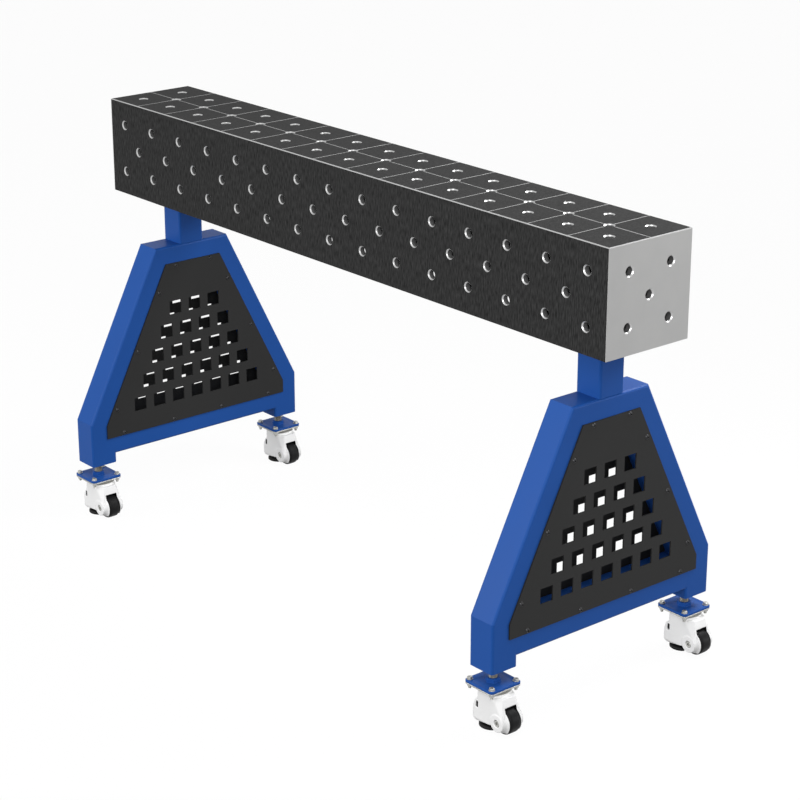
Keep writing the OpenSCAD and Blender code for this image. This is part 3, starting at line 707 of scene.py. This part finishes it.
def hexagon_nut(width, height, hole, around=36):
    """A ring of hexagon section, chamfered at both ends, that closes on its own bore."""
    levels = np.array([0, 0.07, 0.15, 0.85, 0.93, 1]) * height
    depth = np.clip(np.maximum(0.15 * height - levels, levels - 0.85 * height), 0, None)
    cone = width / 2 * OVER_CORNERS - depth / tan(CONE)
    outer = np.minimum(hexagon(width, around)[None], cone[:, None])
    inner = np.full((2, around), hole / 2)
    return skin(rings_of(np.vstack([outer, inner]), [*levels, height, 0]), loop=True)


def washer(outer, hole, thickness, around=36):
    """A flat ring with a small bevel on its outer rim."""
    edge = 0.2 * thickness
    profile = [
        (hole / 2, 0), (outer / 2 - edge, 0), (outer / 2, edge), (outer / 2, thickness - edge),
        (outer / 2 - edge, thickness), (hole / 2, thickness),
    ]
    return lathe(profile, around, loop=True)


print(f"a nut has {len(hexagon_nut(10 * MM, 5 * MM, 6 * MM)[1])} faces")

# %% [markdown]
# A thread could be left to a bump, but its zigzag shows on the bolt's outline. So the lower
# end of each bolt is a true screw, whose zigzag climbs one pitch a turn. The shares of the
# diameter that a bolt's parts take are those of the drawing.

# %% Threads and whole bolts
FLATS, HEAD, NUT_THICK, WASHER_WIDE, WASHER_THICK = 1.5, 0.63, 0.83, 2, 0.2


def threaded_rod(diameter, pitch, low, high, around=32, steps=6):
    """A screw: the radius falls by the depth of the thread times a zigzag of the height in
    pitches less the angle in turns, and both ends are chamfered."""
    depth = 0.54 * pitch
    levels = np.linspace(low, high, int((high - low) / pitch * steps) + 1)
    turns = np.linspace(0, 1, around, endpoint=False)
    phase = (levels[:, None] / pitch - turns[None]) % 1
    radii = diameter / 2 - depth * np.abs(2 * phase - 1)
    end = np.minimum(levels - low, high - levels)[:, None] + diameter / 2 - depth
    return skin(rings_of(np.minimum(radii, end), levels))


def bolt(diameter, pitch, grip, tail_share):
    """Head down at zero, washer and grip above, then the nut and a threaded tail, which
    reaches past the nut by its own share of the diameter."""
    thick = WASHER_THICK * diameter
    nut = thick + grip
    tail = nut + (NUT_THICK + tail_share) * diameter
    head = hexagon_head(FLATS * diameter, HEAD * diameter)
    nut_shell = hexagon_nut(FLATS * diameter, NUT_THICK * diameter, 0.98 * diameter)
    return [
        put(head, (0, 0, 0), "down"),
        washer(WASHER_WIDE * diameter, diameter, thick),
        lathe([(0.49 * diameter, 0), (0.49 * diameter, nut)], 32),
        put(nut_shell, (0, 0, nut)),
        threaded_rod(diameter * 0.99, pitch, nut - 1 * MM, tail),
    ]


# %% Bolts of the castor plates and the heads
PLATE_BOLT, PLATE_SPACING, PLATE_TOP = 6 * MM, 58 * MM, 89 * MM
HEAD_BOLT, HEAD_SPACING, FLANGE_UNDER = 10 * MM, 110 * MM, 670 * MM

plate_bolts = at_corners(
    bolt(PLATE_BOLT, pitch=1 * MM, grip=8 * MM, tail_share=0.75),
    PLATE_SPACING, PLATE_TOP + WASHER_THICK * PLATE_BOLT, "down",
)
on_castors("plate_bolts_detail", plate_bolts, zinc, "stem", "plate_bolts")

head_bolts = at_corners(
    bolt(HEAD_BOLT, pitch=1.5 * MM, grip=20 * MM, tail_share=0.35),
    HEAD_SPACING, FLANGE_UNDER - WASHER_THICK * HEAD_BOLT,
)
for leg in LEGS:
    axis = middle(f"{leg}_post") * (1, 1, 0)
    shells = [put(shell, axis) for shell in head_bolts]
    made = piece(
        f"{leg}_head_bolts_detail", shells, zinc, "trestle", [f"{leg}_head_bolts"]
    )
print(f"{made.name} has {len(made.data.polygons)} faces")

# %% [markdown]
# ## Panel screws
# The panels are held by small button heads with a hexagon socket. Over its levels the
# radius first follows the dome, then steps in to the socket's hexagon and down to its floor.
# Their places are read off the solid: each screw is one loose part of it.

# %% One button screw
def button_screw(thread, head, height, socket, depth, reach, around=24):
    """A dome whose height falls with the square of the radius, with a hexagon socket sunk
    into it, on a plain shank below."""
    t = np.linspace(0, 1, 6)[:, None]
    rim = socket * 0.62
    dome = head / 2 + (rim - head / 2) * t
    dome_height = height * (1 - (dome / (head / 2)) ** 2) / (1 - (rim / (head / 2)) ** 2)
    turned = np.repeat(np.vstack([np.full((2, 1), thread / 2), dome]), around, axis=1)
    six = hexagon(socket, around)[None]
    radii = np.vstack([turned, six, six])
    heights = np.vstack([[[-reach], [0]], dome_height, [[height], [height - depth]]])
    return skin(rings_of(radii, heights))


screw = button_screw(
    thread=5 * MM, head=9.5 * MM, height=2.6 * MM, socket=3 * MM, depth=1.6 * MM, reach=10 * MM
)
print(f"a screw has {len(screw[1])} faces")

# %% Panel screws in their places
PANEL_FACE = 33 * MM


def merged(mesh):
    """A copy of a mesh, open for edits, in which points that lie together are one."""
    shape = bmesh.new()
    shape.from_mesh(mesh)
    bmesh.ops.remove_doubles(shape, verts=shape.verts, dist=0.001 * MM)
    return shape


def loose_parts(node):
    """The points of each separate part of a solid, in the order of their lowest corners:
    from one point on a merged copy, all that edges lead to are gathered."""
    shape = merged(nodes[node].data)
    left, parts = set(shape.verts), []
    while left:
        front, group = [left.pop()], []
        while front:
            vert = front.pop()
            group.append(vert.co.copy())
            near = {e.other_vert(vert) for e in vert.link_edges} & left
            left -= near
            front += near
        parts.append(np.array(group))
    shape.free()
    return sorted(parts, key=lambda part: part.min(0).tolist())


for leg in LEGS:
    axis = middle(f"{leg}_post")
    shells = []
    for part in loose_parts(f"{leg}_panel_screws"):
        side = 1 if part[:, 0].mean() > axis[0] else -1
        spot = (part.min(0) + part.max(0)) / 2
        spot[0] = axis[0] + side * PANEL_FACE
        shells.append(put(screw, spot, "right" if side > 0 else "left"))
    made = piece(
        f"{leg}_panel_screws_detail", shells, oxide, "trestle",
        [f"{leg}_panel_screws"],
    )
print(f"{len(shells)} panel screws a leg, {len(made.data.polygons)} faces")

# %% [markdown]
# ## Plates with soft edges
# Powder rounds off the edge of a plate. A flat curve is the handiest way to a plate with
# holes: its outline and its holes are filled together, and the curve's own bevel rounds all
# its edges. The finished plate is then made a mesh.

# %% A plate from its outline
def baked(holder):
    """The mesh that an object's curve or modifiers lead to, without the object."""
    scene.collection.objects.link(holder)
    bpy.context.view_layer.update()
    depsgraph = bpy.context.evaluated_depsgraph_get()
    mesh = bpy.data.meshes.new_from_object(holder.evaluated_get(depsgraph))
    bpy.data.objects.remove(holder)
    return mesh


def plate(name, outline, holes, low, high, bevel):
    """A plate between two heights. The curve runs a bevel's width inside the outline and
    outside the holes, because its bevel grows outwards by that much."""
    curve = bpy.data.curves.new(name, "CURVE")
    curve.dimensions = "2D"
    curve.fill_mode = "BOTH"
    curve.extrude = (high - low) / 2 - bevel
    curve.bevel_depth = bevel
    curve.bevel_resolution = 2
    for loop in (outline, *holes):
        spline = curve.splines.new("POLY")
        spline.points.add(len(loop) - 1)
        flat = np.zeros((len(loop), 4))
        flat[:, :2] = loop
        spline.points.foreach_set("co", flat.ravel())
        spline.use_cyclic_u = True
    mesh = baked(bpy.data.objects.new(name, curve))
    shape = merged(mesh)
    bmesh.ops.recalc_face_normals(shape, faces=shape.faces)
    shape.to_mesh(mesh)
    shape.free()
    points = np.empty(len(mesh.vertices) * 3)
    mesh.vertices.foreach_get("co", points)
    faces = [list(face.vertices) for face in mesh.polygons]
    return points.reshape(-1, 3) + (0, 0, (low + high) / 2), faces


def round_square(side, corner, steps=8):
    """The outline of a square with round corners, anticlockwise: four quarter circles."""
    quarter = np.linspace(0, pi / 2, steps)
    loops = []
    for turn in range(4):
        way = pi / 4 + turn * pi / 2
        centre = (side / 2 - corner) * 2**0.5 * np.array([cos(way), sin(way)])
        angles = quarter + turn * pi / 2
        loops.append(centre + corner * np.stack([np.cos(angles), np.sin(angles)], axis=-1))
    return np.vstack(loops)


def ring_line(x, y, radius, around=24):
    """A circle, clockwise, as a hole needs it."""
    angles = np.linspace(0, -2 * pi, around, endpoint=False)
    return np.stack([x + radius * np.cos(angles), y + radius * np.sin(angles)], axis=-1)


# %% The castors' square plates
PLATE_SIDE, PLATE_CORNER, PLATE_HOLE = 73 * MM, 7 * MM, 6.6 * MM


def square_plate(name, low, high, bevel):
    """The square plate of a castor, with its four bolt holes."""
    half = PLATE_SPACING / 2
    holes = [ring_line(sx * half, sy * half, PLATE_HOLE / 2 + bevel) for sx, sy in CORNERS]
    outline = round_square(PLATE_SIDE - 2 * bevel, PLATE_CORNER - bevel)
    return plate(name, outline, holes, low, high, bevel)


blue_plate = square_plate("blue_plate", 84 * MM, PLATE_TOP, 0.8 * MM)
castor_plate = square_plate("castor_plate", 81 * MM, 84 * MM, 0.6 * MM)
print(f"the blue plate has {len(blue_plate[1])} faces, the castor's own {len(castor_plate[1])}")

# %% [markdown]
# ## Welds on the frames
# A tube has round corners, so a groove is left where the end of a rail meets the side of an
# upright. On the trestle it is filled with weld and ground flush: a short length of the
# rail's own section closes it.

# %% Welds between the rails and the uprights
TUBE_CORNER, SUNK = 5 * MM, 0.03 * MM

for leg in LEGS:
    low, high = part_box(f"{leg}_bottom_rail")
    section = round_square(high[2] - low[2] - 2 * SUNK, TUBE_CORNER)
    level = np.array([-1, 1.2]) * TUBE_CORNER + high[1]
    rings = np.stack([np.column_stack([section, np.full(len(section), out)]) for out in level])
    place = ((low[0] + high[0]) / 2, 0, (low[2] + high[2]) / 2)
    shells = [put(skin(rings), place, facing) for facing in ("front", "back")]
    made = piece(f"{leg}_frame_welds", shells, blue, "trestle")
print(f"{made.name} has {len(made.data.polygons)} faces")

# %% [markdown]
# ## Levelling stem
# The stem is a 16 mm screw of 2 mm pitch, held in a nut that is welded to the blue plate and
# painted with it. A small bead of weld runs round the nut, as a six-sided ring.

# %% Stems
STEM, STEM_TOP, STEM_PITCH = 16 * MM, 164 * MM, 2 * MM
NUT, NUT_HEIGHT, BEAD = 24 * MM, 7 * MM, 1.2 * MM


def weld_bead(width, size, around=48, section=6):
    """A ring of quarter round section that follows a hexagon."""
    tilt = np.linspace(0, pi / 2, section)[:, None]
    radii = hexagon(width, around)[None] + size * np.cos(tilt)
    radii = np.vstack([radii, radii[-1:] - size / 2])
    heights = np.vstack([size * np.sin(tilt), [[0]]])
    return skin(rings_of(radii, heights), loop=True)


stem = threaded_rod(STEM, STEM_PITCH, PLATE_TOP - 2 * MM, STEM_TOP)
stem_nut = put(hexagon_nut(NUT, NUT_HEIGHT, STEM), (0, 0, PLATE_TOP))
bead = put(weld_bead(NUT, BEAD), (0, 0, PLATE_TOP))
on_castors("plate_detail", [blue_plate, stem_nut, bead], blue, "stem", "stem_plate")
on_castors("stem_thread", [stem], stem_steel, "stem", "stem_plate")

# %% [markdown]
# ## Castor plate and race
# Under the blue plate lies the castor's own plate of pressed steel. Its ball race is a
# turned ring, and the spigot inside it goes down into the housing.

# %% Castor plates
RACE_HOLE, SPIGOT, RACE = 7.5, 16, 24
SPIGOT_LOW, RACE_LOW, RACE_HIGH = 70, 79.5, 81.6

race = lathe(
    np.array(
        [
            (RACE_HOLE, SPIGOT_LOW), (SPIGOT - 1, SPIGOT_LOW), (SPIGOT, SPIGOT_LOW + 1),
            (SPIGOT, RACE_LOW), (RACE - 0.6, RACE_LOW), (RACE, RACE_LOW + 0.6),
            (RACE, RACE_HIGH), (RACE_HOLE, RACE_HIGH),
        ]
    ) * MM,
    64, loop=True,
)
on_castors("top_plate_detail", [castor_plate, race], zinc, "stem", "top_plate")

# %% [markdown]
# ## Cast housing
# A casting has no sharp edges: metal won't fill them. The solid's shape is right, so a copy
# of it is merged and remeshed into cells of 0.8 mm, and then smoothed a few times, which
# rounds every edge by about a millimetre.

# %% Housings
CELL, ROUNDS = 0.8 * MM, 5


def cast(node):
    """A merged copy of a solid, remeshed into small cells and smoothed."""
    shape = merged(nodes[node].data)
    mesh = bpy.data.meshes.new(node + "_cast")
    shape.to_mesh(mesh)
    shape.free()
    holder = bpy.data.objects.new(node + "_cast", mesh)
    remesh = holder.modifiers.new("cells", "REMESH")
    remesh.mode = "VOXEL"
    remesh.voxel_size = CELL
    smooth = holder.modifiers.new("smooth", "SMOOTH")
    smooth.factor = 0.5
    smooth.iterations = ROUNDS
    done = baked(holder)
    done.shade_smooth()
    return done


first = cast(f"{CASTORS[0]}_housing")
for name, spot in castor_places.items():
    mesh = first.copy()
    points = np.empty(len(mesh.vertices) * 3)
    mesh.vertices.foreach_get("co", points)
    points = points.reshape(-1, 3) + (spot - castor_places[CASTORS[0]])
    mesh.vertices.foreach_set("co", points.ravel())
    mesh.materials.clear()
    mesh.materials.append(white)
    made = bpy.data.objects.new(f"{name}_housing_cast", mesh)
    scene.collection.objects.link(made)
    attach(made, f"{name}_fork")
    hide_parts(f"{name}_housing")
print(f"housing: {len(first.polygons)} faces")

# %% [markdown]
# A black bar with rounded ends stands upright a little inside the slot across the toe. It is a
# dark thing put there as the slot's painted shade.

# %% Black bars as painted shade in the toe slots
SLOT_X, SLOT_WIDTH, SLOT_LOW, SLOT_HIGH = -15.5 * MM, 6.5 * MM, 36.5 * MM, 49 * MM
SHADE_BAR_REACH, SHADE_BAR_DRAW = 22.5 * MM, 1 * MM


def shade_bar(width, height, reach, draw, around=32):
    """A bar along Z of an oval section, drawn in at both ends: the section's radius is that
    of a squared ellipse, whose fourth powers add up to one."""
    angles = np.linspace(0, 2 * pi, around, endpoint=False)
    across, up = np.abs(np.cos(angles) * 2 / width), np.abs(np.sin(angles) * 2 / height)
    oval = (across**4 + up**4) ** -0.25
    inset = np.array([draw, 0, 0, draw])[:, None]
    return skin(rings_of(oval[None] - inset, [-reach, draw - reach, reach - draw, reach]))


bar = shade_bar(SLOT_WIDTH, SLOT_HIGH - SLOT_LOW, SHADE_BAR_REACH, SHADE_BAR_DRAW)
bar = put(bar, (SLOT_X, 0, (SLOT_LOW + SLOT_HIGH) / 2), "front")
# A black bar in each toe slot: painted shade for the deep slot
on_castors("toe_slot_shade_bar", [bar], nylon, "fork")

# %% [markdown]
# ## Wheel and axle
# The wheel is one moulding with a crowned tread and round shoulders, and each side is
# dished between hub and rim. It is turned from one half profile and its mirror image.

# %% Wheels
WHEEL_TRAIL, AXLE_HEIGHT = 37.5 * MM, 25 * MM
WHEEL_RADIUS, TREAD_HALF, CROWN, SHOULDER = 25, 12.2, 0.35, 2.2
WHEEL_FACE, DISH_FACE = 12.5, 11.5
WHEEL_HOLE, HUB, DISH_IN, DISH_OUT, RIM, TREAD_FOOT = 4.05, 8.5, 9, 16.5, 17, 21.8

side = np.array(
    [
        (WHEEL_HOLE, WHEEL_FACE), (HUB, WHEEL_FACE), (DISH_IN, DISH_FACE),
        (DISH_OUT, DISH_FACE), (RIM, WHEEL_FACE), (TREAD_FOOT, WHEEL_FACE),
    ]
)
# The radius falls a little with the square of the way out, and steeply with its ninth power
t = np.linspace(-1, 1, 9)
tread_radius = WHEEL_RADIUS - CROWN * t**2 - SHOULDER * np.abs(t) ** 9
tread = np.column_stack([tread_radius, TREAD_HALF * t])
wheel = lathe(np.vstack([side * (1, -1), tread, side[::-1]]) * MM, 96, loop=True)
hub = np.array([WHEEL_TRAIL, 0, AXLE_HEIGHT])
wheel = put(wheel, hub, "front")
on_castors("wheel_detail", [wheel], nylon, "wheel", "wheel")

# %% [markdown]
# The axle is a socket head screw that lies across the fork, with its head at the front and
# its nut at the back.

# %% Axles
AXLE, AXLE_SEAT, AXLE_END = 8 * MM, 20 * MM, 24 * MM
AXLE_NUT, AXLE_NUT_HEIGHT, AXLE_NUT_HOLE = 10.39 * MM, 4 * MM, 7.9 * MM


def socket_head(thread, low, seat, head, height, socket, depth, around=36):
    """A socket head screw: the shank, the head with its rounded edge, and a hexagon sunk in."""
    six = hexagon(socket, around)
    edge = 0.6 * MM
    radii = [thread / 2, thread / 2, head / 2, head / 2, head / 2 - edge, socket * 0.7]
    levels = [low, seat, seat, seat + height - edge, seat + height, seat + height]
    rows = np.vstack([np.repeat(np.array(radii)[:, None], around, axis=1), six, six])
    return skin(rings_of(rows, [*levels, seat + height - 0.2 * MM, seat + height - depth]))


axle = socket_head(
    AXLE, low=-AXLE_END, seat=AXLE_SEAT, head=12 * MM, height=4 * MM, socket=6 * MM, depth=2.5 * MM
)
axle_nut = hexagon_nut(AXLE_NUT, AXLE_NUT_HEIGHT, AXLE_NUT_HOLE)
shells = [put(axle, hub, "front"), put(axle_nut, hub + (0, AXLE_SEAT, 0), "back")]
on_castors("axle_detail", shells, zinc, "fork", "axle")

# %% [markdown]
# ## Thumbwheel and foot
# The thumbwheel has twenty flutes for the fingers. Its radius falls by a wave that is cut
# off at zero, so that flats stay between the flutes, and the bevels have shallower ones.

# %% Thumbwheels
THUMB_HOLE, THUMB_EDGE, THUMB_RADIUS = 6.05, 20.4, 21.5
THUMB_LOW, THUMB_HIGH, THUMB_BEVEL = 51, 59, 1
FLUTES, FLUTE_DEPTH = 20, 1.1

angles = np.linspace(0, 2 * pi, 8 * FLUTES, endpoint=False)
flutes = FLUTE_DEPTH * np.clip(np.cos(angles * FLUTES), 0, 1) ** 0.7
plain_radii = np.array(
    [THUMB_HOLE, THUMB_EDGE, THUMB_RADIUS, THUMB_RADIUS, THUMB_EDGE, THUMB_HOLE]
)
flute_share = np.array([0, 0.6, 1, 1, 0.6, 0])
levels = np.array(
    [
        THUMB_LOW, THUMB_LOW, THUMB_LOW + THUMB_BEVEL, THUMB_HIGH - THUMB_BEVEL,
        THUMB_HIGH, THUMB_HIGH,
    ]
)
radii = plain_radii[:, None] - flute_share[:, None] * flutes[None]
thumbwheel = skin(rings_of(radii * MM, levels * MM), loop=True)
on_castors(
    "thumbwheel_detail", [thumbwheel], nylon, "thumbwheel", "thumbwheel"
)

# %% [markdown]
# The foot is a rubber pad on a screw, cut away where the wheel comes near. The pad is one
# outline at six heights, drawn in along its own normals to round the upper and lower edge.

# %% Feet
PAD_RADIUS, NOTCH_X, NOTCH_HALF = 24 * MM, 13 * MM, 14 * MM
# How far in and how high each outline of the pad lies, in millimetres
PAD_LEVELS = [(0.6, 0.8), (0, 1.4), (0, 4.6), (0.5, 5.6), (1.7, 6.9), (2.4, 7.3)]
STUD, STUD_PITCH, STUD_LOW, STUD_HIGH = 11.9 * MM, 1.75 * MM, 7 * MM, 72 * MM


def pad_outline(radius, notch_x, notch_half, steps=48):
    """A circle cut by a notch: the arc from the notch's far corner right round to its near
    one, and the two corners of the notch's floor."""
    start = np.arcsin(notch_half / radius)
    arc = np.linspace(start, 2 * pi - start, steps)
    rim = radius * np.stack([np.cos(arc), np.sin(arc)], axis=-1)
    floor_line = np.array([[notch_x, -notch_half], [notch_x, notch_half]])
    return np.vstack([rim, floor_line])


def drawn_in(outline, distance):
    """An outline moved inwards along its own normals, each the mean of its two edges'."""
    ahead = np.roll(outline, -1, axis=0) - outline
    ahead /= np.linalg.norm(ahead, axis=1, keepdims=True)
    normal = np.stack([-ahead[:, 1], ahead[:, 0]], axis=-1)
    both = normal + np.roll(normal, 1, axis=0)
    both /= (both * normal).sum(1, keepdims=True)
    return outline + distance * both


outline = pad_outline(PAD_RADIUS, NOTCH_X, NOTCH_HALF)
pad = skin(
    [
        np.column_stack([drawn_in(outline, inset * MM), np.full(len(outline), up * MM)])
        for inset, up in PAD_LEVELS
    ]
)
stud = threaded_rod(STUD, STUD_PITCH, STUD_LOW, STUD_HIGH)
on_castors("foot_pad", [pad], rubber, "foot", "foot")
on_castors("foot_stud", [stud], zinc, "foot", "foot")

# %% [markdown]
# ## Finishes on the solids that stay
# Beam, tubes and panels are right as drawn. Each only gets its real finish, which a part of
# its name tells.

# %% Finishes
FINISHES = {
    "beam_": steel, "_post": blue, "_rail": blue, "_upright": blue, "_foot_nuts": blue,
    "_panel": black,
}
finished = []
for name, node in nodes.items():
    for part, material in FINISHES.items():
        if part in name and not node.hide_render:
            node.data.materials.clear()
            node.data.materials.append(material)
            finished.append(name)
print(f"{len(finished)} solids got their finish")
